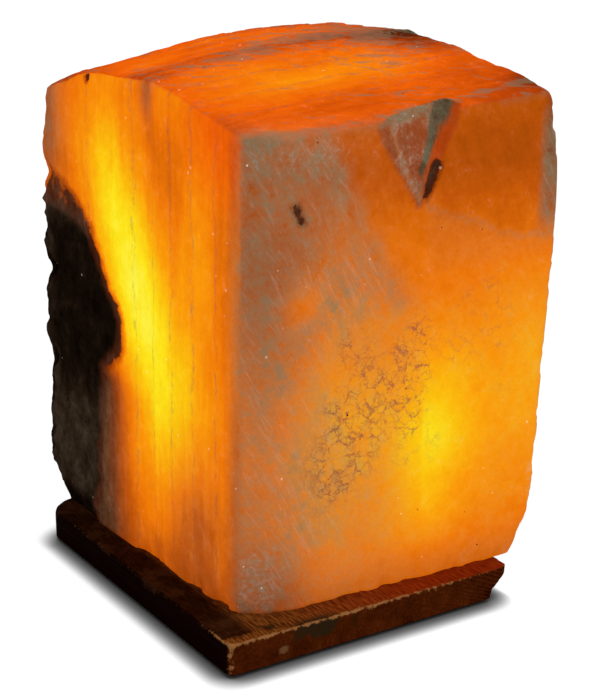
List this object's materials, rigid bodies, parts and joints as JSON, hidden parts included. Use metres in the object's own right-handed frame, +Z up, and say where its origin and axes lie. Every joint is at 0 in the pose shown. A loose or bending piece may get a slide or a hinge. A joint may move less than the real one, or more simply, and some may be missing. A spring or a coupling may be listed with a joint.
{
  "type": "salt crystal lamp",
  "caption": "Table lamp: a hewn block of rock salt on a rough wooden slab, lit from a bore inside by a small screw-cap lamp in a clip-in holder that pulls out from below.",
  "frame": {"origin": "under the middle of the whole outline, on the surface that the feet stand on", "axes": "+Z up, +X along the slab's front edge to its bark edge on the right, +Y to the back, where the cord channel opens"},
  "size_m": [0.2, 0.2377, 0.292],
  "materials": {
    "rock_salt": "satin",
    "dark_wood": "satin",
    "foot_rubber": "matte",
    "screw_steel": "satin",
    "plug_nylon": "satin",
    "holder_plastic": "satin",
    "steatite": "matte",
    "brass": "satin",
    "spring_steel": "satin",
    "clear_glass": "gloss",
    "black_glass": "gloss",
    "solder": "satin",
    "nickel_wire": "satin",
    "tungsten": "satin"
  },
  "bodies": {
    "stand": {"salt_block": "rock_salt", "wood_base": "dark_wood", "feet": "foot_rubber", "base_screws": "screw_steel", "salt_plugs": "plug_nylon"},
    "lampholder": {"holder_cap": "holder_plastic", "holder_body": "holder_plastic", "holder_insert": "steatite", "screw_sleeve": "brass", "centre_contact": "brass", "side_contact": "brass", "contact_rivets": "brass", "terminal_blocks": "brass", "terminal_screws": "screw_steel", "spring_clips": "spring_steel"},
    "lamp_tip": {"bulb_contact": "solder"},
    "lamp": {"bulb_glass": "clear_glass", "bulb_cap": "brass", "bulb_insulator": "black_glass", "bulb_stem": "clear_glass", "lead_wires": "nickel_wire", "support_wires": "nickel_wire", "filament": "tungsten"}
  },
  "joints": [
    {"name": "holder_pull", "type": "slide", "parent": "stand", "child": "lampholder", "axis": [0, 0, -1], "range_m": [0, 0.12]},
    {"name": "lamp_rise", "type": "slide", "parent": "lampholder", "child": "lamp_tip", "axis": [0, 0, 1], "range_m": [0, 0.0135]},
    {"name": "lamp_turn", "type": "hinge", "parent": "lamp_tip", "child": "lamp", "pos_m": [-0.008, -0.013, 0.05], "axis": [0, 0, 1], "range_deg": [0, 1710]}
  ],
  "couplings": [
    {"joint": "lamp_rise", "follows": "lamp_turn", "m_per_rad": 0.00044913}
  ]
}
